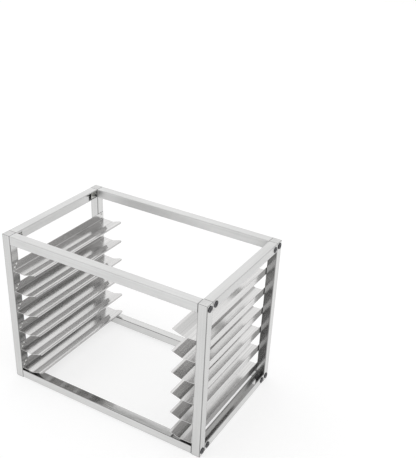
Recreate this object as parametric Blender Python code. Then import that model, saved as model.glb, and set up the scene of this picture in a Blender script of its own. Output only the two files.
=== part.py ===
"""Six-tier side-load sheet pan rack: a bolted frame of square steel tube with twelve folded pan runners.

The origin is on the floor at the middle of the rack. +X is to the right, -Y is the side the pans go in from,
+Z is up. Lengths are in metres. The long rails run along X, the side rails along Y and the posts along Z.
"""

import math

import bmesh
import bpy
from mathutils import Matrix, Vector

# Frame
WIDTH = 0.724  # over the posts
DEPTH = 0.461  # over the posts
TUBE = 0.030  # outer side of the square tube
WALL = 0.0015  # tube wall
TUBE_RADIUS = 0.0020  # outer corner of the tube
INNER_RADIUS = 0.0005  # inner corner of the tube
EDGE_BREAK = 0.0008  # chamfer round the closed top of a post
END_BREAK = 0.0006  # chamfer round the sawn ends of a rail
GAP = 0.0003  # between pieces that touch

# Runners and the heights that follow from them
TIERS = 6
TIER_PITCH = 0.075
SPACE_BELOW = 0.0092  # from the bottom rail up to the root of the lowest runner
SPACE_ABOVE = 0.092  # from the root of the highest runner up to the top rail
SHEET = 0.0012  # runner sheet
FLANGE_HEIGHT = 0.027
SHELF_REACH = 0.0435  # from the flange to the fold of the shelf
SHELF_DIP = 0.0018  # how far that fold lies below the root
RISE_REACH = 0.0295  # from the fold to the crest
RISE = 0.0094  # from the fold up to the crest
CREST_REACH = 0.0085  # from the crest to the lip, along the flatter border
CREST_RISE = 0.0010
LIP_DROP = 0.0050
ROOT_FOLD = 0.0025  # fold radii of the runner's middle line
SHELF_FOLD = 0.0060
CREST_FOLD = 0.0035
LIP_FOLD = 0.0022
RUNNER_INSET = 0.0020  # from the faces of the posts to the ends of a runner
CORNER_ROUND = 0.0060  # free corners of a runner, seen from above

# Feet: square plugs in the open tube ends
FOOT_RIM = 0.0015
FOOT_RIM_INSET = 0.0005
FOOT_PLAY = 0.0020  # from the top of a plug up to the bolt that crosses the post
FOOT_WALL = 0.0015
FOOT_FLOOR = 0.0010
PLUG_PLAY = 0.0003  # all round, between a plug or plate and the bore of its tube

# Fasteners
BOLT_RADIUS = 0.0040
HOLE_PLAY = 0.0003  # all round the shank
HEAD_RADIUS = 0.0102
HEAD_HEIGHT = 0.0016
HEAD_CHAMFER = 0.0005
SOCKET_WIDTH = 0.0060  # across flats
SOCKET_DEPTH = 0.0010
BOLT_TIP = 0.0008  # chamfer at the end of the shank
BOLT_SHOW = 0.0025  # how far a shank comes out of its nut
BOLT_SIDES = 16
SIDE_BOLT_SETBACK = 0.016  # from the post to the bolt in the side rail
SCREW_HOLE = 0.0021  # radius of the holes for the pairs of screws that hold each end of a runner
SCREW_SHIFTS = (-0.005, 0.003)  # along Y, from a post's middle to the lower and the upper screw
SCREW_HEIGHTS = (0.010, 0.020)  # of the same two over the runner's root
SCREW_SIDES = 6
NUT_WIDTH = 0.013  # across flats
NUT_HEIGHT = 0.0060
PLATE = 0.0030  # nut plates and brackets
BRACKET_HEIGHT = 0.020
NUT_PLAY = 0.0015  # round a bracket's nut in the slot at a side rail's front end
WINDOW_LENGTH = 0.048  # from the post to the end of the window at a side rail's back end
WINDOW_LIP = 0.0015  # what a window leaves of the inner wall, beside the walls above and below
WINDOW_TIP = 0.018  # how much further it runs along its upper edge
WINDOW_TIP_DROP = 0.0055  # height over which it does

# Places that follow
BASE = FOOT_RIM + GAP  # underside of the frame
LOWEST_ROOT = BASE + TUBE + SPACE_BELOW
HEIGHT = LOWEST_ROOT + (TIERS - 1) * TIER_PITCH + SPACE_ABOVE + TUBE
BORE = TUBE - 2 * WALL
TOP_AXIS = HEIGHT - TUBE / 2  # heights of the rails' middle lines
BOTTOM_AXIS = BASE + TUBE / 2
LEVELS = {"top": TOP_AXIS, "bottom": BOTTOM_AXIS}
SIDES = {"left": -1, "right": 1}
ENDS = {"front": -1, "back": 1}
NUT_CORNER = NUT_WIDTH / math.sqrt(3)  # from a nut's middle to its corners
BRACKET_LENGTH = 2 * SIDE_BOLT_SETBACK
THREAD_DEPTH = TUBE + GAP + PLATE + NUT_HEIGHT  # from the frame's side face to the far end of either nut
LEG_FACE = TUBE - WALL - PLUG_PLAY  # from the frame's side face to the far face of a bracket's leg


def clear_scene():
    for obj in list(bpy.data.objects):
        bpy.data.objects.remove(obj, do_unlink=True)


def metal(name, colour, roughness, metallic=1.0):
    material = bpy.data.materials.new(name)
    material.use_nodes = True
    shader = material.node_tree.nodes["Principled BSDF"]
    shader.inputs["Base Color"].default_value = (*colour, 1.0)
    shader.inputs["Roughness"].default_value = roughness
    shader.inputs["Metallic"].default_value = metallic
    material.diffuse_color = (*colour, 1.0)
    return material


def add_object(name, mesh, material):
    obj = bpy.data.objects.new(name, mesh)
    bpy.context.collection.objects.link(obj)
    if material and not mesh.materials:
        mesh.materials.append(material)
    return obj


# Outlines and lofts


def rounded_square(half, radius, z, steps=3):
    """A loop of points round a square of that half width, at height z."""
    centre = half - radius
    loop = []
    for quarter in range(4):
        corner = Matrix.Rotation(quarter * math.pi / 2, 4, "Z") @ Vector((centre, centre, 0))
        for step in range(steps + 1):
            angle = (quarter + step / steps) * math.pi / 2
            loop.append(corner + Vector((radius * math.cos(angle), radius * math.sin(angle), z)))
    return loop


def polygon(radius, z, sides):
    angles = (2 * math.pi * side / sides for side in range(sides))
    return [Vector((radius * math.cos(angle), radius * math.sin(angle), z)) for angle in angles]


def loft(name, loops, closed=False, place=None):
    """A mesh through loops of equal length. Closed joins the last to the first, otherwise the ends are capped."""
    body = bmesh.new()
    rings = [[body.verts.new(point) for point in loop] for loop in loops]
    pairs = list(zip(rings, rings[1:]))
    if closed:
        pairs.append((rings[-1], rings[0]))
    else:
        body.faces.new(rings[0])
        body.faces.new(rings[-1])
    for low, high in pairs:
        for i in range(len(low)):
            j = (i + 1) % len(low)
            body.faces.new((low[i], low[j], high[j], high[i]))
    bmesh.ops.recalc_face_normals(body, faces=body.faces)
    if body.calc_volume(signed=True) < 0:
        bmesh.ops.reverse_faces(body, faces=body.faces)
    if place:
        bmesh.ops.transform(body, matrix=place, verts=body.verts)
    mesh = bpy.data.meshes.new(name)
    body.to_mesh(mesh)
    body.free()
    return mesh


def smooth(mesh, angle=math.radians(35)):
    mesh.shade_smooth()
    mesh.set_sharp_from_angle(angle=angle)


def modify(target, tool_mesh, operation="DIFFERENCE"):
    """Cuts a hidden tool from the target, or joins it on."""
    tool = add_object(tool_mesh.name, tool_mesh, None)
    tool.hide_render = True
    tool.display_type = "WIRE"
    boolean = target.modifiers.new(tool_mesh.name, "BOOLEAN")
    boolean.operation = operation
    boolean.solver = "EXACT"
    boolean.object = tool
    return tool


# Axes: turns that take a piece made along +Z to the way it lies


def along_x(at, sign=1):
    """From local +Z to world +X, or to -X with sign -1."""
    return Matrix.Translation(at) @ Matrix.Rotation(sign * math.pi / 2, 4, "Y")


def along_y(at):
    return Matrix.Translation(at) @ Matrix.Rotation(-math.pi / 2, 4, "X")


def side_face(side):
    """X of the frame's outer face on that side."""
    return SIDES[side] * WIDTH / 2


def inward(side, depth):
    """X at that depth in from the outer face."""
    return side_face(side) - SIDES[side] * depth


def from_end(end, depth):
    """Y at that depth in from the front or the back face."""
    return ENDS[end] * (DEPTH / 2 - depth)


# Frame


def hole(name, x_low, x_high, y, z, radius=BOLT_RADIUS + HOLE_PLAY, sides=BOLT_SIDES):
    """A cutter for a round hole along X, by default for a bolt."""
    loops = [polygon(radius, 0, sides), polygon(radius, x_high - x_low, sides)]
    return loft(name, loops, place=along_x((x_low, y, z)))


def runner_root(tier):
    """Height at which the flange and the shelf of that tier's runners would meet. Tier 0 is the top one."""
    return LOWEST_ROOT + (TIERS - 1 - tier) * TIER_PITCH


def screw_holes(name, side, ends, tiers):
    """A cutter for all the screws of those tiers at those ends, through flange and inner wall of the post."""
    low, high = sorted((inward(side, TUBE - 2 * WALL), inward(side, TUBE + GAP + 2 * SHEET)))
    body = bmesh.new()
    for tier in tiers:
        for end in ends:
            for shift, height in zip(SCREW_SHIFTS, SCREW_HEIGHTS):
                y, z = from_end(end, TUBE / 2) + shift, runner_root(tier) + height
                body.from_mesh(hole("screw_hole", low, high, y, z, SCREW_HOLE, SCREW_SIDES))
    mesh = bpy.data.meshes.new(name)
    body.to_mesh(mesh)
    body.free()
    return mesh


def make_post(end, side, material):
    """A tube with a closed, ground-flush top, bolt holes at the rails and screw holes at the runners."""
    name = f"post_{end}_{side}"
    x, y = inward(side, TUBE / 2), from_end(end, TUBE / 2)
    loops = [
        rounded_square(BORE / 2, INNER_RADIUS, HEIGHT - WALL),
        rounded_square(BORE / 2, INNER_RADIUS, BASE),
        rounded_square(TUBE / 2, TUBE_RADIUS, BASE),
        rounded_square(TUBE / 2, TUBE_RADIUS, HEIGHT - EDGE_BREAK),
        rounded_square(TUBE / 2 - EDGE_BREAK, TUBE_RADIUS - EDGE_BREAK, HEIGHT),
    ]
    post = add_object(name, loft(name, loops), material)
    post.location = (x, y, 0)
    for level, z in LEVELS.items():
        modify(post, hole(f"cut_{name}_{level}", x - TUBE, x + TUBE, y, z))
    modify(post, screw_holes(f"screws_{name}", side, [end], range(TIERS)))
    return post


def tube_loops(length):
    """An open-ended square tube from z = 0 to its length, its sawn ends chamfered outside."""
    return [
        rounded_square(BORE / 2, INNER_RADIUS, 0),
        rounded_square(BORE / 2, INNER_RADIUS, length),
        rounded_square(TUBE / 2 - END_BREAK, TUBE_RADIUS - END_BREAK, length),
        rounded_square(TUBE / 2, TUBE_RADIUS, length - END_BREAK),
        rounded_square(TUBE / 2, TUBE_RADIUS, END_BREAK),
        rounded_square(TUBE / 2 - END_BREAK, TUBE_RADIUS - END_BREAK, 0),
    ]


def make_long_rail(level, end, material):
    name = f"{level}_rail_{end}"
    length = WIDTH - 2 * (TUBE + GAP)
    place = along_x((-length / 2, from_end(end, TUBE / 2), LEVELS[level]))
    return add_object(name, loft(name, tube_loops(length), closed=True, place=place), material)


def notch_outline(end):
    """Points as (depth from the frame's front or back face, height over the rail's middle)."""
    start = TUBE - GAP
    if end == "front":
        stop = TUBE + SIDE_BOLT_SETBACK + NUT_CORNER + NUT_PLAY
        half = NUT_CORNER + NUT_PLAY
        return [(start, -half), (stop, -half), (stop, half), (start, half)]
    stop = TUBE + WINDOW_LENGTH
    half = BORE / 2 - WINDOW_LIP
    tip = [(stop, half - WINDOW_TIP_DROP), (stop + WINDOW_TIP, half)]
    return [(start, -half), (stop, -half), *tip, (start, half)]


def notch(name, side, end, level):
    """A cutter that opens the inner wall of a side rail round its bracket's nut."""
    xs = sorted((inward(side, TUBE - 2 * WALL), inward(side, TUBE + WALL)))
    points = [(from_end(end, depth), LEVELS[level] + height) for depth, height in notch_outline(end)]
    return loft(name, [[Vector((x, y, z)) for y, z in points] for x in xs])


def make_side_rail(level, side, material):
    """A tube along Y, with a bolt hole in its outer wall and a notch in its inner wall at each end."""
    name = f"{level}_rail_{side}"
    length = DEPTH - 2 * (TUBE + GAP)
    place = along_y((inward(side, TUBE / 2), -length / 2, LEVELS[level]))
    rail = add_object(name, loft(name, tube_loops(length), closed=True, place=place), material)
    for end in ENDS:
        xs = sorted((inward(side, -WALL), inward(side, 2 * WALL)))
        y = from_end(end, TUBE + SIDE_BOLT_SETBACK)
        modify(rail, hole(f"cut_{name}_{end}", *xs, y, LEVELS[level]))
        modify(rail, notch(f"notch_{name}_{end}", side, end, level))
    return rail


# Runners


def fold_path(points, radii, steps):
    """Points and unit normals along a path, each inner corner rounded in that many steps, or kept at radius 0.

    The normal is left of the way on.
    """
    path = []

    def add(point, way):
        path.append((point, Vector((-way.y, way.x))))

    add(points[0], (points[1] - points[0]).normalized())
    for before, corner, after, radius, count in zip(points, points[1:], points[2:], radii, steps):
        way_in, way_out = (corner - before).normalized(), (after - corner).normalized()
        if radius == 0:
            add(corner, way_out)
            continue
        turn = way_in.angle_signed(way_out)
        reach = radius * math.tan(abs(turn) / 2)
        hand = -math.copysign(1.0, turn)
        centre = corner - way_in * reach + Vector((-way_in.y, way_in.x)) * radius * hand
        start = corner - way_in * reach - centre
        for step in range(count + 1):
            spun = Matrix.Rotation(-turn * step / count, 2)
            add(centre + spun @ start, spun @ way_in)
    add(points[-1], (points[-1] - points[-2]).normalized())
    return path


def runner_path():
    """The middle line of the folded sheet, as (distance from the post, height over the root)."""
    half = SHEET / 2
    fold = Vector((SHELF_REACH, -SHELF_DIP))
    crest = fold + Vector((RISE_REACH, RISE))
    border = Vector((CREST_REACH, CREST_RISE))
    edge = crest + border
    round_angles = (0, math.pi / 8)  # where the border needs points for its round corners
    corners = [
        Vector((half, FLANGE_HEIGHT)),
        Vector((half, 0)),
        fold,
        crest,
        *(edge - border.normalized() * CORNER_ROUND * (1 - math.sin(angle)) for angle in round_angles),
        edge,
        edge - Vector((0, LIP_DROP)),
    ]
    radii = (ROOT_FOLD, SHELF_FOLD, CREST_FOLD, 0, 0, LIP_FOLD)
    return fold_path(corners, radii, steps=(4, 3, 3, 0, 0, 4))


def runner_mesh():
    """A left-hand runner, standing off its post's inner face by GAP, with its root at height 0."""
    path = runner_path()
    widest = max(point.x for point, _ in path)
    half_length = DEPTH / 2 - RUNNER_INSET
    upper, lower = [], []
    for point, normal in path:
        to_edge = min(widest - point.x, CORNER_ROUND)
        setback = CORNER_ROUND - math.sqrt(to_edge * (2 * CORNER_ROUND - to_edge))
        for faces, offset in ((upper, SHEET / 2), (lower, -SHEET / 2)):
            x, z = point + normal * offset
            faces.append([Vector((GAP + x, y, z)) for y in (setback - half_length, half_length - setback)])
    outline = upper + lower[::-1]
    return loft("runner", [[pair[0] for pair in outline], [pair[1] for pair in outline]])


def mirrored(mesh, name):
    """A copy turned over across the YZ plane, still facing out."""
    copy = bmesh.new()
    copy.from_mesh(mesh)
    bmesh.ops.transform(copy, matrix=Matrix.Scale(-1, 4, (1, 0, 0)), verts=copy.verts)
    bmesh.ops.reverse_faces(copy, faces=copy.faces)
    other = bpy.data.meshes.new(name)
    copy.to_mesh(other)
    copy.free()
    return other


def make_runners(material):
    left = runner_mesh()
    meshes = {"left": left, "right": mirrored(left, "runner_mirrored")}
    for side, mesh in meshes.items():
        smooth(mesh)
        for tier in range(TIERS):
            name = f"runner_{side}_{tier + 1}"
            runner = add_object(name, mesh, material)
            runner.location = (inward(side, TUBE), 0, runner_root(tier))
            modify(runner, screw_holes(f"screws_{name}", side, ENDS, [tier]))


# Fasteners and fittings


def bolt_mesh(name, nut_end):
    """A wide, flat-headed bolt along +Z, its head below z = 0 and its nut's far end at nut_end."""
    tip = nut_end + BOLT_SHOW
    profile = [
        (HEAD_RADIUS - HEAD_CHAMFER, -GAP - HEAD_HEIGHT),
        (HEAD_RADIUS, -GAP - HEAD_HEIGHT + HEAD_CHAMFER),
        (HEAD_RADIUS, -GAP),
        (BOLT_RADIUS, -GAP),
        (BOLT_RADIUS, tip - BOLT_TIP),
        (BOLT_RADIUS - BOLT_TIP, tip),
    ]
    mesh = loft(name, [polygon(radius, z, BOLT_SIDES) for radius, z in profile])
    smooth(mesh)
    return mesh


def make_bolt(name, mesh, side, y, z, material):
    bolt = add_object(name, mesh, material)
    bolt.matrix_world = along_x((side_face(side), y, z), -SIDES[side])
    socket = [
        polygon(SOCKET_WIDTH / math.sqrt(3), -GAP - 2 * HEAD_HEIGHT, 6),
        polygon(SOCKET_WIDTH / math.sqrt(3), -GAP - HEAD_HEIGHT + SOCKET_DEPTH, 6),
    ]
    modify(bolt, loft(f"socket_{name}", socket, place=bolt.matrix_world))
    return bolt


def nut_loops(low, high):
    """A hexagon nut's outline at its two ends."""
    return [polygon(NUT_CORNER, low, 6), polygon(NUT_CORNER, high, 6)]


def make_nut_plate(level, end, side, material):
    """A square plate in the end of a long rail, with a nut welded behind it."""
    name = f"nut_plate_{level}_{end}_{side}"
    half = BORE / 2 - PLUG_PLAY
    start = TUBE + GAP
    at = (side_face(side), from_end(end, TUBE / 2), LEVELS[level])
    place = along_x(at, -SIDES[side])
    loops = [rounded_square(half, INNER_RADIUS, start), rounded_square(half, INNER_RADIUS, start + PLATE)]
    plate = add_object(name, loft(name, loops, place=place), material)
    nut = nut_loops(start + PLATE / 2, THREAD_DEPTH)
    modify(plate, loft(f"nut_{name}", nut, place=place), "UNION")
    xs = sorted((inward(side, TUBE - PLATE), inward(side, THREAD_DEPTH + PLATE)))
    modify(plate, hole(f"cut_{name}", *xs, at[1], at[2]))
    return plate


def bracket_mesh(name, end, side, level):
    """An angle in plan: a foot across the post's face and a leg along the rail's inner wall."""
    near = TUBE + GAP
    far = near + BRACKET_LENGTH
    outline = [(WALL + PLUG_PLAY, near), (LEG_FACE, near), (LEG_FACE, far)]
    outline += [(LEG_FACE - PLATE, far), (LEG_FACE - PLATE, near + PLATE), (WALL + PLUG_PLAY, near + PLATE)]
    points = [(inward(side, x), from_end(end, y)) for x, y in outline]
    half = BRACKET_HEIGHT / 2
    loops = [[Vector((x, y, z)) for x, y in points] for z in (LEVELS[level] - half, LEVELS[level] + half)]
    return loft(name, loops)


def make_bracket(level, end, side, material):
    name = f"bracket_{level}_{end}_{side}"
    bracket = add_object(name, bracket_mesh(name, end, side, level), material)
    y, z = from_end(end, TUBE + SIDE_BOLT_SETBACK), LEVELS[level]
    place = along_x((side_face(side), y, z), -SIDES[side])
    nut = nut_loops(LEG_FACE - PLATE / 2, LEG_FACE + NUT_HEIGHT)
    modify(bracket, loft(f"nut_{name}", nut, place=place), "UNION")
    xs = sorted((inward(side, LEG_FACE - 2 * PLATE), inward(side, LEG_FACE + 2 * NUT_HEIGHT)))
    modify(bracket, hole(f"cut_{name}", *xs, y, z))
    return bracket


def make_foot(end, side, material):
    """A square plug: a rim under the tube and a hollow spigot inside it."""
    name = f"foot_{end}_{side}"
    rim = TUBE / 2 - FOOT_RIM_INSET
    spigot = BORE / 2 - PLUG_PLAY
    hollow = spigot - FOOT_WALL
    top = BOTTOM_AXIS - BOLT_RADIUS - FOOT_PLAY
    loops = [
        rounded_square(rim, TUBE_RADIUS, 0),
        rounded_square(rim, TUBE_RADIUS, FOOT_RIM),
        rounded_square(spigot, INNER_RADIUS, FOOT_RIM),
        rounded_square(spigot, INNER_RADIUS, top),
        rounded_square(hollow, INNER_RADIUS, top),
        rounded_square(hollow, INNER_RADIUS, FOOT_FLOOR),
    ]
    foot = add_object(name, loft(name, loops), material)
    foot.location = (inward(side, TUBE / 2), from_end(end, TUBE / 2), 0)
    return foot


def main():
    clear_scene()
    frame_steel = metal("frame_steel", (0.62, 0.62, 0.61), 0.30)
    runner_steel = metal("runner_steel", (0.58, 0.57, 0.56), 0.22)
    dark_steel = metal("dark_steel", (0.06, 0.06, 0.065), 0.40)
    plain_steel = metal("plain_steel", (0.50, 0.50, 0.48), 0.35)
    grey_nylon = metal("grey_nylon", (0.45, 0.45, 0.45), 0.55, metallic=0.0)

    for level in LEVELS:
        for end in ENDS:
            make_long_rail(level, end, frame_steel)
        for side in SIDES:
            make_side_rail(level, side, frame_steel)
    make_runners(runner_steel)

    post_bolt = bolt_mesh("post_bolt", THREAD_DEPTH)
    rail_bolt = bolt_mesh("rail_bolt", LEG_FACE + NUT_HEIGHT)
    for side in SIDES:
        for end in ENDS:
            make_post(end, side, frame_steel)
            make_foot(end, side, grey_nylon)
            for level, z in LEVELS.items():
                corner = f"{level}_{end}_{side}"
                make_nut_plate(level, end, side, plain_steel)
                make_bracket(level, end, side, plain_steel)
                make_bolt(f"post_bolt_{corner}", post_bolt, side, from_end(end, TUBE / 2), z, dark_steel)
                rail_y = from_end(end, TUBE + SIDE_BOLT_SETBACK)
                make_bolt(f"rail_bolt_{corner}", rail_bolt, side, rail_y, z, dark_steel)


main()
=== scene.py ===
# %% [markdown]
# # A bolted pan rack in brushed steel
#
# The rack is a box frame of square steel tube. Twelve folded sheet runners are screwed to the insides
# of its four posts, and a full-size sheet pan slides along each pair of them. The construction is
# already made and packed as a fixed frame, so this lesson is about what is left: the grain of brushed
# steel, the soft folds of the runners, the small screws, and a plain bright studio. Places and spacings
# are read from that frame wherever its boxes give them.

# %% Load the frame
import math

import bmesh
import bpy
from mathutils import Matrix, Vector


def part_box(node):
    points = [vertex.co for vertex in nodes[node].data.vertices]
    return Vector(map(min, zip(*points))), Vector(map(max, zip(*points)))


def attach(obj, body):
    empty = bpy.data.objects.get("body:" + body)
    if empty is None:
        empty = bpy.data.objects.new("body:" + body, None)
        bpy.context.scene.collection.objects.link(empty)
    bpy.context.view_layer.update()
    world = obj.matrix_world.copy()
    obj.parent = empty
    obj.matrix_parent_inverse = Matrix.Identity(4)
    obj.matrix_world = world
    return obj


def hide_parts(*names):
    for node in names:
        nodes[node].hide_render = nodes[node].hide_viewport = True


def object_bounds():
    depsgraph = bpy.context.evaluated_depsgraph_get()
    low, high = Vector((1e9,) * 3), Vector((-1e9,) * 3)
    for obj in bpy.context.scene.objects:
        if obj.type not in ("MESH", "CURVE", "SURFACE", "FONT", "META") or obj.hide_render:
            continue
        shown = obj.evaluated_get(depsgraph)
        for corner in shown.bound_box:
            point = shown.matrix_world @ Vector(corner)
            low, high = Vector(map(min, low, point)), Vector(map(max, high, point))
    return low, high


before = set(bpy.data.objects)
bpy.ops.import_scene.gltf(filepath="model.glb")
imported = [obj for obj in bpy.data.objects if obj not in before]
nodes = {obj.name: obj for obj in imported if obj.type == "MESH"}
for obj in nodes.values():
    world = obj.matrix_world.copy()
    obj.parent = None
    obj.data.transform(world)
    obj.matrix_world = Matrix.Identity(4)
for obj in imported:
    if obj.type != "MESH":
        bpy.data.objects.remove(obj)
cad_low, cad_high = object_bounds()
print("frame:", len(nodes), "pieces,", [round(size, 4) for size in cad_high - cad_low], "m")

# %% [markdown]
# ## Sizes from the frame
#
# A post's box gives the tube size, and two runners one above the other give the spacing of the tiers.
# Reading them here, and not typing them again, keeps the looks in step with the construction.

# %% Read the sizes
MM = 0.001
SIDES = {"left": -1, "right": 1}
ENDS = ("front", "back")

post_low, post_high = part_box("post_front_left")
tube = post_high.x - post_low.x
half_width = -post_low.x
half_depth = -post_low.y
post_spacing = 2 * half_depth - tube

tiers = sum(name.startswith("runner_left") for name in nodes)
lowest_low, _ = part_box(f"runner_left_{tiers}")
next_low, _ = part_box(f"runner_left_{tiers - 1}")
tier_pitch = next_low.z - lowest_low.z
print(f"tube {tube / MM:.1f} mm, posts {post_high.z / MM:.1f} mm high")
print(f"{tiers} tiers, {tier_pitch / MM:.1f} mm apart")

# %% [markdown]
# ## Camera
#
# The camera stands to the right of the open front and well above the rack, so that the tops of the pan
# runners show. A long lens keeps the posts nearly parallel. The small vertical shift moves the picture
# without tilting the camera, as a view camera's rising front does, so the posts don't lean more than
# they should.

# %% Set up the camera
CAMERA_PLACE = Vector((1.1199, -1.6298, 1.5716))  # metres
CAMERA_FORWARD = Vector((-0.4150, 0.7610, -0.4987))
CAMERA_RIGHT = Vector((0.8640, 0.5014, 0.0462))
LENS = 56.83  # mm
SENSOR = 36.0  # mm across
SHIFT_UP = 0.0852  # of the sensor
FAR_LIMIT = 50.0  # metres, past the far corners of the floor


def make_camera():
    data = bpy.data.cameras.new("camera")
    data.lens = LENS
    data.sensor_width = SENSOR
    data.shift_y = SHIFT_UP
    data.clip_end = FAR_LIMIT
    camera = bpy.data.objects.new("camera", data)
    bpy.context.scene.collection.objects.link(camera)
    forward = CAMERA_FORWARD.normalized()
    up = CAMERA_RIGHT.cross(forward).normalized()
    right = forward.cross(up)
    turn = Matrix((right, up, -forward)).transposed().to_4x4()
    camera.matrix_world = Matrix.Translation(CAMERA_PLACE) @ turn
    bpy.context.scene.camera = camera
    return camera


camera = make_camera()
print("camera", [round(value, 3) for value in camera.location], "lens", LENS)

# %% [markdown]
# ## Light
#
# Steel has no colour of its own to show: it shows the room. A studio for metal is therefore a white
# tent, lit evenly from all sides, and a little brighter in front and low down, where the big lamps
# stand. The tent has two openings: a dark gap at eye height where the camera looks in, and a half-dark
# one behind the rack, to its right. Each sheet that mirrors a gap turns darker, and that is what draws
# the stripes on the folded runners. All of it is one world shader: a height, a direction and a few soft
# fades between levels of light.
#
# Shaders and, further down, shapes are both trees of nodes. A few helpers keep the code that builds
# them close to plain arithmetic, and most of these serve both kinds of tree.

# %% Helpers for node trees
def feed(tree, node, inputs):
    """Sets or links a node's inputs, by name or by number."""
    for name, value in inputs.items():
        if isinstance(value, bpy.types.NodeSocket):
            tree.links.new(value, node.inputs[name])
        else:
            node.inputs[name].default_value = value


def step(tree, kind, inputs, output=0, **settings):
    """Adds a node, sets or links its inputs, and returns one of its outputs."""
    node = tree.nodes.new(kind)
    for name, value in settings.items():
        setattr(node, name, value)
    feed(tree, node, inputs)
    return node.outputs[output]


def math_node(tree, operation, *values):
    return step(tree, "ShaderNodeMath", dict(enumerate(values)), operation=operation)


# %% A little arithmetic with nodes
def split(tree, vector):
    """The X, Y and Z of a vector."""
    return step(tree, "ShaderNodeSeparateXYZ", {0: vector}).node.outputs


def without(tree, light, taken):
    """The light that is left when a share of it is taken away."""
    return math_node(tree, "MULTIPLY", light, math_node(tree, "SUBTRACT", 1.0, taken))


def fade_between(tree, value, start, stop, low, high):
    """From low, where the value is start, to high, where it is stop, with soft ends."""
    fade = {"Value": value, "From Min": start, "From Max": stop, "To Min": low, "To Max": high}
    return step(tree, "ShaderNodeMapRange", fade, "Result", interpolation_type="SMOOTHSTEP")


# %% Cut the openings of the tent
FRONT_GAP = {
    "way": Vector((0.17, -0.98, 0.0)),  # from the rack to the gap
    "depth": 0.95,  # share of the light it takes away
    "side": (0.45, 0.85),  # cosines of the angles to either side at which the gap begins and is full
    "foot": (0.36, 0.46),  # sines of the elevations at which it begins and is full
    "head": (0.74, 0.60),  # and, from above, the same
}
BACK_GAP = {
    "way": Vector((0.38, 0.92, 0.0)),
    "depth": 0.55,
    "side": (0.70, 0.95),
    "foot": (-0.02, 0.10),
    "head": (0.80, 0.55),
}


def cosine(tree, level_way, way):
    """The cosine of the angle between two level directions."""
    both = {0: level_way, 1: way.normalized()}
    return step(tree, "ShaderNodeVectorMath", both, "Value", operation="DOT_PRODUCT")


def gap_share(tree, level_way, height, gap):
    """The share of light that a gap takes: its depth in the middle, fading to 0 at its edges."""
    share = fade_between(tree, cosine(tree, level_way, gap["way"]), *gap["side"], 0.0, gap["depth"])
    for edge in (gap["foot"], gap["head"]):
        share = math_node(tree, "MULTIPLY", share, fade_between(tree, height, *edge, 0.0, 1.0))
    return share


for place, gap in {"front": FRONT_GAP, "back": BACK_GAP}.items():
    foot, head = (round(math.degrees(math.asin(gap[edge][0]))) for edge in ("foot", "head"))
    print(f"{place} gap: from {foot} to {head} degrees up, takes {gap['depth']} of the light")


# %% Build the studio
WHITE = (1.0, 1.0, 1.0, 1.0)
FRONT_LIGHT = 1.35  # low down, on the camera's side
BACK_LIGHT = 0.95  # low down, behind the rack
OVERHEAD_LIGHT = 1.05
LOW_SKY = 0.10  # sine of the elevation up to which the light is the horizon's
HIGH_SKY = 0.50  # and from which on it is the overhead light


def tent_light(tree):
    """The strength of the light from each direction."""
    x, y, height = split(tree, step(tree, "ShaderNodeTexCoord", {}, "Generated"))
    level = step(tree, "ShaderNodeCombineXYZ", {"X": x, "Y": y})
    level_way = step(tree, "ShaderNodeVectorMath", {0: level}, operation="NORMALIZE")
    to_front = cosine(tree, level_way, FRONT_GAP["way"])
    horizon = fade_between(tree, to_front, -1.0, 1.0, BACK_LIGHT, FRONT_LIGHT)
    light = fade_between(tree, height, LOW_SKY, HIGH_SKY, horizon, OVERHEAD_LIGHT)
    for gap in (FRONT_GAP, BACK_GAP):
        light = without(tree, light, gap_share(tree, level_way, height, gap))
    return light


def make_world():
    """The tent lights the rack and shows in its steel, but the camera sees plain white behind it."""
    world = bpy.data.worlds.new("studio")
    bpy.context.scene.world = world
    world.use_nodes = True
    tree = world.node_tree
    tree.nodes.clear()
    tent = step(tree, "ShaderNodeBackground", {"Color": WHITE, "Strength": tent_light(tree)})
    backdrop = step(tree, "ShaderNodeBackground", {"Color": WHITE})
    from_camera = step(tree, "ShaderNodeLightPath", {}, "Is Camera Ray")
    surface = step(tree, "ShaderNodeMixShader", {0: from_camera, 1: tent, 2: backdrop})
    feed(tree, tree.nodes.new("ShaderNodeOutputWorld"), {"Surface": surface})


make_world()
bpy.context.scene.view_settings.view_transform = "Standard"
print("light", FRONT_LIGHT, "in front,", BACK_LIGHT, "behind and", OVERHEAD_LIGHT, "overhead")

# %% [markdown]
# ## Floor
#
# The floor is a pale sheet that runs out of sight on every side. Part of its brightness is its own and
# part is the light that falls on it, so it reads as white and still takes a soft shadow from the rack.
# Its own part also shows in the steel, at full strength in the first mirror and weaker where one sheet
# shows another.

# %% Lay the floor
FLOOR_HALF = 8.0  # metres
FLOOR_GREY = 0.40
FLOOR_GLOW = 0.66
SECOND_GLOW = 0.50  # share of it that shows where one sheet mirrors another
HALF_STEP = 0.5  # tells one whole number of reflections from the next


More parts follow.
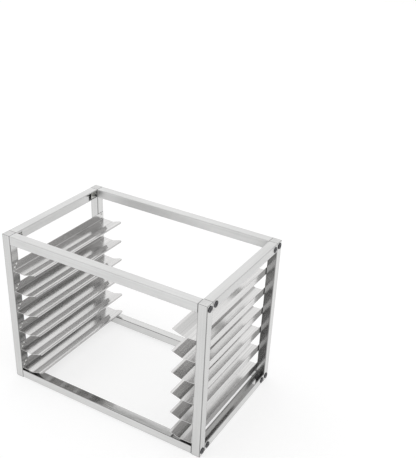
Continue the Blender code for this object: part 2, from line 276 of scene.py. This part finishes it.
def floor_material():
    material = bpy.data.materials.new("floor")
    material.use_nodes = True
    tree = material.node_tree
    tree.nodes.clear()
    path = step(tree, "ShaderNodeLightPath", {}).node.outputs
    depth = path["Glossy Depth"]
    first = math_node(tree, "LESS_THAN", depth, 1.0 + HALF_STEP)
    first = math_node(tree, "MULTIPLY", path["Is Glossy Ray"], first)
    second = math_node(tree, "COMPARE", depth, 2.0, HALF_STEP)
    second = math_node(tree, "MULTIPLY", second, SECOND_GLOW)
    seen = math_node(tree, "MAXIMUM", first, second)
    for ray in ("Is Camera Ray", "Is Transmission Ray"):
        seen = math_node(tree, "MAXIMUM", path[ray], seen)
    glow = step(tree, "ShaderNodeEmission", {"Strength": math_node(tree, "MULTIPLY", seen, FLOOR_GLOW)})
    diffuse = step(tree, "ShaderNodeBsdfDiffuse", {"Color": (FLOOR_GREY, FLOOR_GREY, FLOOR_GREY, 1.0)})
    both = step(tree, "ShaderNodeAddShader", {0: diffuse, 1: glow})
    feed(tree, tree.nodes.new("ShaderNodeOutputMaterial"), {"Surface": both})
    return material


def make_floor():
    mesh = bpy.data.meshes.new("floor")
    turns = ((-1, -1), (1, -1), (1, 1), (-1, 1))
    mesh.from_pydata([(x * FLOOR_HALF, y * FLOOR_HALF, cad_low.z) for x, y in turns], [], [(0, 1, 2, 3)])
    mesh.materials.append(floor_material())
    floor = bpy.data.objects.new("floor", mesh)
    bpy.context.scene.collection.objects.link(floor)


make_floor()
print("floor", 2 * FLOOR_HALF, "m wide, at height", round(cad_low.z, 4))

# %% [markdown]
# ## Brushed steel
#
# An abrasive belt leaves fine scratches along each tube. They spread a reflection across the grain and
# keep it sharp along it, which the shader calls anisotropy. The scratches are one noise texture,
# stretched along the grain, that moves the roughness and tilts the surface a little. Two broader ones
# give the faint clouds and streaks that handled steel has. All read Object coordinates, so they stay on
# the metal when the view moves.

# %% Noise and what it moves
GRAIN_AXES = {"x": (1, 0, 0), "y": (0, 1, 0), "z": (0, 0, 1)}
NOISE_RANGE = (0.3, 0.7)  # most of a noise texture lies between these


def stretched_noise(tree, grain, across, along, detail):
    """Noise on Object coordinates: so many features a metre across the grain, and so many along it."""
    scale = [along if axis else across for axis in GRAIN_AXES[grain]]
    place = step(tree, "ShaderNodeTexCoord", {}, "Object")
    place = step(tree, "ShaderNodeMapping", {"Vector": place, "Scale": scale})
    return step(tree, "ShaderNodeTexNoise", {"Vector": place, "Scale": 1.0, "Detail": detail}, "Fac")


def around(tree, noise, middle, swing):
    """Noise as a number that swings to either side of a middle value."""
    ends = {"From Min": NOISE_RANGE[0], "From Max": NOISE_RANGE[1]}
    ends.update({"To Min": middle - swing, "To Max": middle + swing})
    return step(tree, "ShaderNodeMapRange", {"Value": noise, **ends}, "Result")


def tinted(tree, colour, light):
    return step(tree, "ShaderNodeVectorMath", {0: colour, "Scale": light}, operation="SCALE")


def dented(tree, height, strength, depth):
    dents = {"Height": height, "Strength": strength, "Distance": depth}
    return step(tree, "ShaderNodeBump", dents, "Normal")


def new_material(name):
    """A new material, its tree and its shader."""
    material = bpy.data.materials.new(name)
    material.use_nodes = True
    return material, material.node_tree, material.node_tree.nodes["Principled BSDF"]


# %% Painted shade on corners and seams
FLAT_FROM = 0.995  # cosine of the angle to an axis from which a face counts as flat
ROUND_TO = 0.980  # and below which it counts as round
# The rail ends are darkened here as painted shade, for the shadow in the joint with the post.
SEAM = 1.2 * MM  # length of the darker stretch at a rail's end
SEAM_SHADE_DEPTH = 0.6  # share of the light that it loses


def painted_corner_shade(tree):
    """1 on the rounded corners of a tube, where the colour is darkened as painted shade, and 0 on its
    flat faces, which all lie square to the axes.
    """
    normal = step(tree, "ShaderNodeTexCoord", {}, "Normal")
    x, y, z = split(tree, step(tree, "ShaderNodeVectorMath", {0: normal}, operation="ABSOLUTE"))
    largest = math_node(tree, "MAXIMUM", math_node(tree, "MAXIMUM", x, y), z)
    return fade_between(tree, largest, FLAT_FROM, ROUND_TO, 0.0, 1.0)


def painted_seam_shade(tree, grain, half):
    """1 on the last stretch of a rail of that half length, where it meets the posts and its colour is
    darkened as painted shade, and 0 elsewhere.
    """
    place = split(tree, step(tree, "ShaderNodeTexCoord", {}, "Object"))
    along = math_node(tree, "ABSOLUTE", place[grain.upper()])
    return fade_between(tree, along, half - SEAM, half - SEAM / 2, 0.0, 1.0)


# %% A material for brushed metal
SCRATCHES = {"across": 900.0, "along": 12.0, "detail": 3.0}  # features a metre
CLOUDS = {"across": 30.0, "along": 6.0, "detail": 2.0}
STREAKS = {"across": 350.0, "along": 2.5, "detail": 2.0}
ROUGHNESS_SWING = 0.05
CLOUD_SWING = 0.04
SCRATCH_DEPTH = 0.02 * MM
QUARTER_TURN = 0.25  # puts the spread across the grain


def metal(
    name,
    colour,
    grain,
    roughness,
    *,
    metallic=1.0,
    anisotropy=0.0,
    scratch=0.15,
    streaks=0.03,
    corners=0.0,
    seam=None,
):
    """Brushed metal. corners: share of the colour darkened on round corners, as painted shade. seam: half
    length of a rail, whose ends are darkened as painted shade.
    """
    material, tree, shader = new_material(name)
    scratches = stretched_noise(tree, grain, **SCRATCHES)
    clouds = around(tree, stretched_noise(tree, grain, **CLOUDS), 1.0, CLOUD_SWING)
    light = around(tree, stretched_noise(tree, grain, **STREAKS), 1.0, streaks)
    light = math_node(tree, "MULTIPLY", clouds, light)
    # Painted shade: the colour is darkened on the rounded corners and on the rail ends at the posts.
    if corners:
        taken = math_node(tree, "MULTIPLY", painted_corner_shade(tree), corners)
        light = without(tree, light, taken)
    if seam:
        taken = math_node(tree, "MULTIPLY", painted_seam_shade(tree, grain, seam), SEAM_SHADE_DEPTH)
        light = without(tree, light, taken)
    way = step(tree, "ShaderNodeCombineXYZ", dict(zip("XYZ", GRAIN_AXES[grain])))
    look = {"Metallic": metallic, "Anisotropic": anisotropy, "Anisotropic Rotation": QUARTER_TURN}
    look["Tangent"] = way
    look["Base Color"] = tinted(tree, colour, light)
    look["Roughness"] = around(tree, scratches, roughness, ROUGHNESS_SWING)
    look["Normal"] = dented(tree, scratches, scratch, SCRATCH_DEPTH)
    feed(tree, shader, look)
    return material


# %% [markdown]
# ### Tubes
#
# The tubes don't all have the same finish. The posts and the low rails still have the mill's smooth
# polish, so they mirror the runners beside them. The top rails have been rubbed by hands and pans to a
# satin, which is part mirror and part plain grey. All are one steel, and the top rails' lighter colour
# is painted light. On every tube the rounded corners are painted a little darker than the flats, and
# where a rail meets a post a thin dark seam is painted: both are painted shade. One function makes all
# these finishes, because only a few numbers tell them apart. The corners are rounded in the mesh, and
# the seams are too thin to model, so their shade is painted into the shader's colour.

# %% Finish the frame's tubes
TUBE_ANISO = 0.6
# All three are one steel. The top rails' lighter colour and the posts' darker one are painted light.
POST = {"colour": (0.63, 0.63, 0.625), "roughness": 0.16, "corners": 0.55}
TOP_RAIL = {"colour": (0.76, 0.76, 0.755), "roughness": 0.40, "metallic": 0.55, "corners": 0.15}
LOW_RAIL = {"colour": (0.66, 0.66, 0.655), "roughness": 0.10, "corners": 0.35}
RAIL_HALVES = {"x": half_width - tube, "y": half_depth - tube}


def give(material, *names):
    """Puts a material on CAD pieces, without touching their meshes."""
    for name in names:
        for slot in nodes[name].material_slots:
            slot.material = material


post_steel = metal("post_steel", grain="z", anisotropy=TUBE_ANISO, **POST)
top_steel, low_steel = {}, {}
for grain, half in RAIL_HALVES.items():
    brushed = {"grain": grain, "anisotropy": TUBE_ANISO, "seam": half}
    top_steel[grain] = metal(f"top_steel_{grain}", **brushed, **TOP_RAIL)
    low_steel[grain] = metal(f"low_steel_{grain}", **brushed, **LOW_RAIL)
for end in ENDS:
    give(post_steel, *(f"post_{end}_{side}" for side in SIDES))
    give(top_steel["x"], f"top_rail_{end}")
    give(low_steel["x"], f"bottom_rail_{end}")
for side in SIDES:
    give(top_steel["y"], f"top_rail_{side}")
    give(low_steel["y"], f"bottom_rail_{side}")
rail_ends = {axis: round(half / MM, 1) for axis, half in RAIL_HALVES.items()}
print("rails end", rail_ends, "mm from the middle")

# %% [markdown]
# ### Sheet
#
# The runners are bent from thin stainless sheet. Its grain runs along the sheet, and it is finer and
# clearer than the grain of the tubes, so the reflections are drawn out far across it. Real grooves
# would take millions of faces. A high anisotropy draws the reflections out in the same way, on a plain
# surface.

# %% Finish the runners
RUNNER = {"colour": (0.69, 0.685, 0.68), "roughness": 0.17, "streaks": 0.08}
RUNNER_ANISO = 0.8
runner_steel = metal("runner_sheet", grain="y", anisotropy=RUNNER_ANISO, **RUNNER)
print("runner finish:", runner_steel.name, "with", len(runner_steel.node_tree.nodes), "nodes")

# %% [markdown]
# ### Fittings
#
# The bolt heads are blackened, the brackets and nut plates inside the corners are plain zinc-plated
# steel, and the rack stands on four moulded feet of grey nylon. None of these has a grain that spreads
# its reflections, so the metals take the same function with no anisotropy, and the nylon, which is no
# metal, gets a short one of its own.

# %% Finish the fittings
PLASTIC_GRAINS = 2500.0  # a metre
PLASTIC_SWING = 0.08
PLASTIC_DENT = 0.2
PLASTIC_DEPTH = 0.05 * MM


def moulded_plastic(name, colour, roughness):
    """A matt plastic with the fine, even grain that the mould leaves on it."""
    material, tree, shader = new_material(name)
    place = step(tree, "ShaderNodeTexCoord", {}, "Object")
    grains = step(tree, "ShaderNodeTexNoise", {"Vector": place, "Scale": PLASTIC_GRAINS}, "Fac")
    look = {"Base Color": tinted(tree, colour, around(tree, grains, 1.0, PLASTIC_SWING))}
    look["Roughness"] = around(tree, grains, roughness, PLASTIC_SWING)
    look["Normal"] = dented(tree, grains, PLASTIC_DENT, PLASTIC_DEPTH)
    feed(tree, shader, look)
    return material


bolt_steel = metal("bolt_steel", colour=(0.07, 0.07, 0.075), grain="z", roughness=0.40)
plate_steel = metal("plate_steel", colour=(0.50, 0.50, 0.48), grain="z", roughness=0.35)
foot_nylon = moulded_plastic("foot_nylon", colour=(0.45, 0.45, 0.45), roughness=0.60)
for name in nodes:
    if "bolt" in name:
        give(bolt_steel, name)
    if name.startswith(("bracket", "nut_plate")):
        give(plate_steel, name)
    if name.startswith("foot"):
        give(foot_nylon, name)
print("fittings:", ", ".join(material.name for material in (bolt_steel, plate_steel, foot_nylon)))

# %% [markdown]
# ## Folded runners
#
# A runner is one strip of sheet with four folds: a flange that is screwed to the posts, a shelf for the
# rim of the pan, a slope that keeps the pan in its lane, and a flatter border with a small turned-down
# lip. A press brake makes all of it from a flat blank, so the shape follows a rule, and Geometry Nodes
# can follow the same one: take the corners of the profile, round each to its fold radius, draw the line
# out to the length of the sheet, and give it a thickness. The folds are then smooth, and a change of
# one size redraws all twelve.

# %% The profile of a runner
SHEET = 1.2 * MM
FLANGE_HEIGHT = 27.0 * MM
SHELF_REACH, SHELF_DIP = 43.5 * MM, 1.8 * MM  # from the root out and down to the shelf's fold
RISE_REACH, RISE = 29.5 * MM, 9.4 * MM  # from there out and up to the crest
BORDER_REACH, BORDER_RISE = 8.5 * MM, 1.0 * MM
LIP_DROP = 5.0 * MM
ROOT_FOLD, SHELF_FOLD, CREST_FOLD, LIP_FOLD = 2.5 * MM, 6.0 * MM, 3.5 * MM, 2.2 * MM  # radii
CORNER_ROUND = 6.0 * MM  # free corners, seen from above
CORNER_TURNS = (0, 15, 30)  # degrees of that round which lie on the border, before the lip's fold


def profile_corners():
    """The middle line of the sheet as (out from the post, up from the root, fold radius)."""
    fold = Vector((SHELF_REACH, -SHELF_DIP))
    crest = fold + Vector((RISE_REACH, RISE))
    border = Vector((BORDER_REACH, BORDER_RISE))
    edge = crest + border
    corners = [(Vector((SHEET / 2, FLANGE_HEIGHT)), 0.0), (Vector((SHEET / 2, 0.0)), ROOT_FOLD)]
    corners += [(fold, SHELF_FOLD), (crest, CREST_FOLD)]
    for turn in CORNER_TURNS:
        back = CORNER_ROUND * (1 - math.sin(math.radians(turn)))
        corners.append((edge - border.normalized() * back, 0.0))
    corners += [(edge, LIP_FOLD), (edge - Vector((0, LIP_DROP)), 0.0)]
    return corners


print(len(profile_corners()), "corners on the profile")

# %% [markdown]
# Smooth shading spreads a fold's bend over the whole face beside it, unless a narrow flat strip lies
# between them. So the line gets a point just before and just after each fold. Then it becomes a mesh of
# bare edges, and each point carries its fold radius as an attribute, where the tree can read it.

# %% The profile as a line
SUPPORT = 0.3 * MM  # width of the flat strip on either side of a fold


def supported(corners):
    """The same line with a point just before and just after each fold."""
    points = [corners[0]]
    for (before, _), (corner, radius), (after, _) in zip(corners, corners[1:], corners[2:]):
        way_in, way_out = (corner - before).normalized(), (after - corner).normalized()
        reach = radius * math.tan(abs(way_in.angle_signed(way_out)) / 2) + SUPPORT
        if radius:
            points += [(corner - way_in * reach, 0.0), (corner, radius), (corner + way_out * reach, 0.0)]
        else:
            points.append((corner, radius))
    return points + [corners[-1]]


def profile_line(name, sign):
    """The profile as an open line of edges in the XZ plane, with the fold radii as an attribute."""
    corners = supported(profile_corners())
    mesh = bpy.data.meshes.new(name)
    points = [(sign * place.x, 0.0, place.y) for place, _ in corners]
    mesh.from_pydata(points, [(at, at + 1) for at in range(len(points) - 1)], [])
    radii = mesh.attributes.new("fold_radius", "FLOAT", "POINT")
    radii.data.foreach_set("value", [radius for _, radius in corners])
    return mesh


print(len(supported(profile_corners())), "points on the line")

# %% [markdown]
# The tree below is that press brake. Its inputs are the sizes a sheet-metal worker would ask for. The
# profile comes in as a line of edges, and what goes out is a closed sheet: one skin, pushed out by the
# thickness, and the same skin again, turned over and welded on as the other face.

# %% Helpers for geometry trees
SOCKETS = {int: "NodeSocketInt", float: "NodeSocketFloat", Vector: "NodeSocketVector"}
WELD = 0.001 * MM


def new_tree(name, **sizes):
    """A geometry tree with named inputs, and the outputs of its Group Input node."""
    tree = bpy.data.node_groups.new(name, "GeometryNodeTree")
    tree.interface.new_socket("Geometry", in_out="INPUT", socket_type="NodeSocketGeometry")
    for label, value in sizes.items():
        socket = tree.interface.new_socket(label, in_out="INPUT", socket_type=SOCKETS[type(value)])
        socket.default_value = value
    tree.interface.new_socket("Material", in_out="INPUT", socket_type="NodeSocketMaterial")
    tree.interface.new_socket("Geometry", in_out="OUTPUT", socket_type="NodeSocketGeometry")
    return tree, tree.nodes.new("NodeGroupInput").outputs


def moved(tree, shape, axis, distance):
    """The shape with each point moved along an axis."""
    shift = step(tree, "ShaderNodeCombineXYZ", {axis: distance})
    return step(tree, "GeometryNodeSetPosition", {"Geometry": shape, "Offset": shift})


def welded(tree, shape):
    return step(tree, "GeometryNodeMergeByDistance", {"Geometry": shape, "Distance": WELD})


def finish_tree(tree, shape, given):
    """Every tree ends the same way: instances made real, and the material set."""
    shape = step(tree, "GeometryNodeRealizeInstances", {"Geometry": shape})
    shape = step(tree, "GeometryNodeSetMaterial", {"Geometry": shape, "Material": given["Material"]})
    feed(tree, tree.nodes.new("NodeGroupOutput"), {"Geometry": shape})


# %% Run a tree
SHARP = math.radians(40)  # a steeper edge is shaded as an edge, a flatter one as a bend


def grow(tree, mesh, name, **inputs):
    """Runs the tree on a mesh and keeps the result as a plain object, without the modifier."""
    seed = bpy.data.objects.new(f"seed_{name}", mesh)
    bpy.context.scene.collection.objects.link(seed)
    modifier = seed.modifiers.new("grow", "NODES")
    modifier.node_group = tree
    for socket in tree.interface.items_tree:
        if socket.in_out == "INPUT" and socket.name in inputs:
            modifier[socket.identifier] = inputs[socket.name]
    grown = bpy.data.meshes.new_from_object(seed.evaluated_get(bpy.context.evaluated_depsgraph_get()))
    bpy.data.objects.remove(seed)
    grown.materials.clear()
    grown.materials.append(inputs["Material"])
    grown.shade_smooth()
    grown.set_sharp_from_angle(angle=SHARP)
    grown.name = name
    piece = bpy.data.objects.new(name, grown)
    bpy.context.scene.collection.objects.link(piece)
    return piece


# %% Fold the line and draw it out
def drawn_skin(tree, given):
    """The profile with round folds, drawn out along Y to the length of the sheet, half to either side."""
    radius = step(tree, "GeometryNodeInputNamedAttribute", {"Name": "fold_radius"}, data_type="FLOAT")
    line = step(tree, "GeometryNodeMeshToCurve", {"Mesh": given["Geometry"]})
    folds = {"Curve": line, "Count": given["Steps"], "Radius": radius}
    line = step(tree, "GeometryNodeFilletCurve", folds, mode="POLY")
    line = welded(tree, step(tree, "GeometryNodeCurveToMesh", {"Curve": line}))
    half = math_node(tree, "MULTIPLY", given["Length"], 0.5)
    line = moved(tree, line, "Y", math_node(tree, "MULTIPLY", half, -1.0))
    length = step(tree, "ShaderNodeCombineXYZ", {"Y": given["Length"]})
    drawn = {"Mesh": line, "Offset": length, "Offset Scale": 1.0}
    return step(tree, "GeometryNodeExtrudeMesh", drawn, mode="EDGES")


# %% Round the free corners
def corners_rounded(tree, skin, given):
    """The skin with its free corners drawn in along Y, to circles of the corner's size."""
    x, y, _ = split(tree, step(tree, "GeometryNodeInputPosition", {}))
    left = math_node(tree, "SUBTRACT", given["Reach"], math_node(tree, "ABSOLUTE", x))
    left = math_node(tree, "MAXIMUM", math_node(tree, "MINIMUM", left, given["Corner"]), 0.0)
    rest = math_node(tree, "SUBTRACT", math_node(tree, "MULTIPLY", given["Corner"], 2.0), left)
    chord = math_node(tree, "SQRT", math_node(tree, "MULTIPLY", left, rest))
    setback = math_node(tree, "SUBTRACT", given["Corner"], chord)
    inward = math_node(tree, "MULTIPLY", math_node(tree, "SIGN", y), -1.0)
    return moved(tree, skin, "Y", math_node(tree, "MULTIPLY", setback, inward))


# %% Give the skin a thickness
def thickened(tree, skin, given):
    """A closed sheet, half its thickness to either side of the skin."""
    normal = step(tree, "GeometryNodeInputNormal", {})
    down = math_node(tree, "MULTIPLY", given["Thickness"], -0.5)
    below = step(tree, "ShaderNodeVectorMath", {0: normal, "Scale": down}, operation="SCALE")
    skin = step(tree, "GeometryNodeSetPosition", {"Geometry": skin, "Offset": below})
    pushed = {"Mesh": skin, "Offset Scale": given["Thickness"], "Individual": False}
    upper = step(tree, "GeometryNodeExtrudeMesh", pushed)
    lower = step(tree, "GeometryNodeFlipFaces", {"Mesh": skin})
    join = tree.nodes.new("GeometryNodeJoinGeometry")
    for face in (upper, lower):
        tree.links.new(face, join.inputs[0])
    return welded(tree, join.outputs[0])


# %% The tree of a folded sheet
FOLD_STEPS = 8


def folded_sheet_tree():
    """The press brake. Each runner brings its own length, reach and place."""
    sizes = {"Thickness": SHEET, "Corner": CORNER_ROUND, "Steps": FOLD_STEPS}
    tree, given = new_tree("folded_sheet", **sizes, Length=0.0, Reach=0.0, Place=Vector())
    skin = corners_rounded(tree, drawn_skin(tree, given), given)
    sheet = thickened(tree, skin, given)
    sheet = step(tree, "GeometryNodeTransform", {"Geometry": sheet, "Translation": given["Place"]})
    finish_tree(tree, sheet, given)
    return tree


folded_sheet = folded_sheet_tree()
print("tree with", len(folded_sheet.nodes), "nodes")

# %% Fold the runners
def fold_runner(side, tier, material):
    node = f"runner_{side}_{tier}"
    low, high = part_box(node)
    sign = -SIDES[side]
    place = Vector((low.x if sign > 0 else high.x, (low.y + high.y) / 2, high.z - FLANGE_HEIGHT))
    sizes = {"Length": high.y - low.y, "Reach": high.x - low.x - SHEET / 2, "Place": place}
    runner = grow(folded_sheet, profile_line(node, sign), f"sheet_{node}", Material=material, **sizes)
    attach(runner, "root")
    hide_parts(node)
    return runner


runners = [fold_runner(side, tier + 1, runner_steel) for side in SIDES for tier in range(tiers)]
print(len(runners), "runners of", len(runners[0].data.polygons), "faces")

# %% [markdown]
# ## Screws
#
# Two round-headed screws hold each end of a runner, one a little above the other. That makes
# forty-eight of the same small thing in a plain pattern, so one is modelled with care, a turned head
# with a cross cut into it, and a tree repeats it: a line of two, along a line of two posts, up a line
# of tiers. Nobody stops a driver at the same angle twice, so each screw gets its own turn, from a fixed
# seed.

# %% Turn a shape
def turned(name, outline, sides):
    """A closed shape, turned round X from an outline of (place on the axis, radius)."""
    body = bmesh.new()
    rings = []
    for along, radius in outline:
        angles = [2 * math.pi * side / sides for side in range(sides if radius else 1)]
        ring = [(along, radius * math.cos(angle), radius * math.sin(angle)) for angle in angles]
        rings.append([body.verts.new(place) for place in ring])
    for near, far in zip(rings, rings[1:]):
        for side in range(sides):
            after = side + 1
            pairs = [(near, side), (near, after), (far, after), (far, side)]
            corners = [ring[count % len(ring)] for ring, count in pairs]
            body.faces.new(list(dict.fromkeys(corners)))
    bmesh.ops.recalc_face_normals(body, faces=body.faces)
    mesh = bpy.data.meshes.new(name)
    body.to_mesh(mesh)
    body.free()
    return mesh


# %% Cut into it
def bar(name, centre, size):
    """A plain block."""
    body = bmesh.new()
    place = Matrix.Translation(centre) @ Matrix.Diagonal((*size, 1.0))
    bmesh.ops.create_cube(body, size=1.0, matrix=place)
    mesh = bpy.data.meshes.new(name)
    body.to_mesh(mesh)
    body.free()
    return mesh


def cut(mesh, *tools):
    """The mesh with the tools' shapes taken out of it."""
    body = bpy.data.objects.new("body", mesh)
    knives = [bpy.data.objects.new("knife", tool) for tool in tools]
    for part in (body, *knives):
        bpy.context.scene.collection.objects.link(part)
    for knife in knives:
        difference = body.modifiers.new("cut", "BOOLEAN")
        difference.operation = "DIFFERENCE"
        difference.solver = "EXACT"
        difference.object = knife
    result = bpy.data.meshes.new_from_object(body.evaluated_get(bpy.context.evaluated_depsgraph_get()))
    for part in (body, *knives):
        bpy.data.objects.remove(part)
    return result


# %% Turn one screw
SCREW_HEAD = 3.9 * MM  # radius
SCREW_CROWN = 2.7 * MM  # height of the head
SCREW_RIM = 0.7 * MM  # height of its straight edge
SCREW_SHANK = 1.9 * MM  # radius
SCREW_LENGTH = 8.0 * MM
SCREW_SIDES = 16
CROWN_STEPS = 4
CROSS_LONG, CROSS_WIDE, CROSS_DEEP = 4.4 * MM, 1.0 * MM, 1.5 * MM


def screw_mesh():
    dome = SCREW_CROWN - SCREW_RIM
    outline = [(-SCREW_LENGTH, 0.0), (-SCREW_LENGTH, SCREW_SHANK), (0.0, SCREW_SHANK), (0.0, SCREW_HEAD)]
    for count in range(CROWN_STEPS):
        angle = count / CROWN_STEPS * math.pi / 2
        outline.append((SCREW_RIM + dome * math.sin(angle), SCREW_HEAD * math.cos(angle)))
    outline.append((SCREW_CROWN, 0.0))
    slots = [(CROSS_DEEP * 2, CROSS_LONG, CROSS_WIDE), (CROSS_DEEP * 2, CROSS_WIDE, CROSS_LONG)]
    tools = [bar("slot", Vector((SCREW_CROWN, 0, 0)), size) for size in slots]
    return cut(turned("screw", outline, SCREW_SIDES), *tools)


one_screw = screw_mesh()
print("one screw has", len(one_screw.polygons), "faces")

# %% The tree that repeats it
PAIR_STEP = Vector((0.0, 8.0 * MM, 10.0 * MM))  # from the lower screw of a pair to the upper one
FIRST_SCREW = (-5.0 * MM, 10.0 * MM)  # the lower one: Y from the post's middle, height over the root
SEED = 7
CROSS_TURN = math.pi / 2  # a cross looks the same again after a quarter turn


def repeated(tree, points, start):
    """All the points of the first line, from each point of the second."""
    rows = step(tree, "GeometryNodeInstanceOnPoints", {"Points": start, "Instance": points})
    return step(tree, "GeometryNodeRealizeInstances", {"Geometry": rows})


def screw_tree():
    """One side's screws. Each side brings the place of its first screw and the way it faces."""
    sizes = {"Pair": PAIR_STEP, "Posts": post_spacing, "Tiers": tiers, "Pitch": tier_pitch, "Seed": SEED}
    tree, given = new_tree("screw_pattern", **sizes, First=Vector(), Facing=0.0)
    pair = {"Count": 2, "Start Location": given["First"], "Offset": given["Pair"]}
    points = step(tree, "GeometryNodeMeshLine", pair)
    post_step = step(tree, "ShaderNodeCombineXYZ", {"Y": given["Posts"]})
    points = repeated(tree, points, step(tree, "GeometryNodeMeshLine", {"Count": 2, "Offset": post_step}))
    tier_step = step(tree, "ShaderNodeCombineXYZ", {"Z": given["Pitch"]})
    tier_line = step(tree, "GeometryNodeMeshLine", {"Count": given["Tiers"], "Offset": tier_step})
    points = repeated(tree, points, tier_line)
    turns = {3: CROSS_TURN, "Seed": given["Seed"]}  # input 3 and output 1 are the node's float ones
    turn = step(tree, "FunctionNodeRandomValue", turns, 1, data_type="FLOAT")
    way = step(tree, "ShaderNodeCombineXYZ", {"X": turn, "Z": given["Facing"]})
    way = step(tree, "FunctionNodeEulerToRotation", {"Euler": way})
    placed = {"Points": points, "Instance": given["Geometry"], "Rotation": way}
    finish_tree(tree, step(tree, "GeometryNodeInstanceOnPoints", placed), given)
    return tree


screw_pattern = screw_tree()
print("tree with", len(screw_pattern.nodes), "nodes")

# %% Drive the screws
screw_steel = metal("screw_steel", colour=(0.80, 0.80, 0.79), grain="z", roughness=0.16, scratch=0.0)


def drive_screws(side):
    low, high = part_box(f"runner_{side}_{tiers}")
    root = high.z - FLANGE_HEIGHT
    face = low.x + SHEET if side == "left" else high.x - SHEET
    first = Vector((face, FIRST_SCREW[0] - post_spacing / 2, root + FIRST_SCREW[1]))
    facing = 0.0 if side == "left" else math.pi
    pattern = {"First": first, "Facing": facing, "Material": screw_steel}
    screws = grow(screw_pattern, one_screw, f"runner_screws_{side}", **pattern)
    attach(screws, "root")
    return screws


for side in SIDES:
    screws = drive_screws(side)
    print(screws.name, "with", len(screws.data.polygons), "faces")
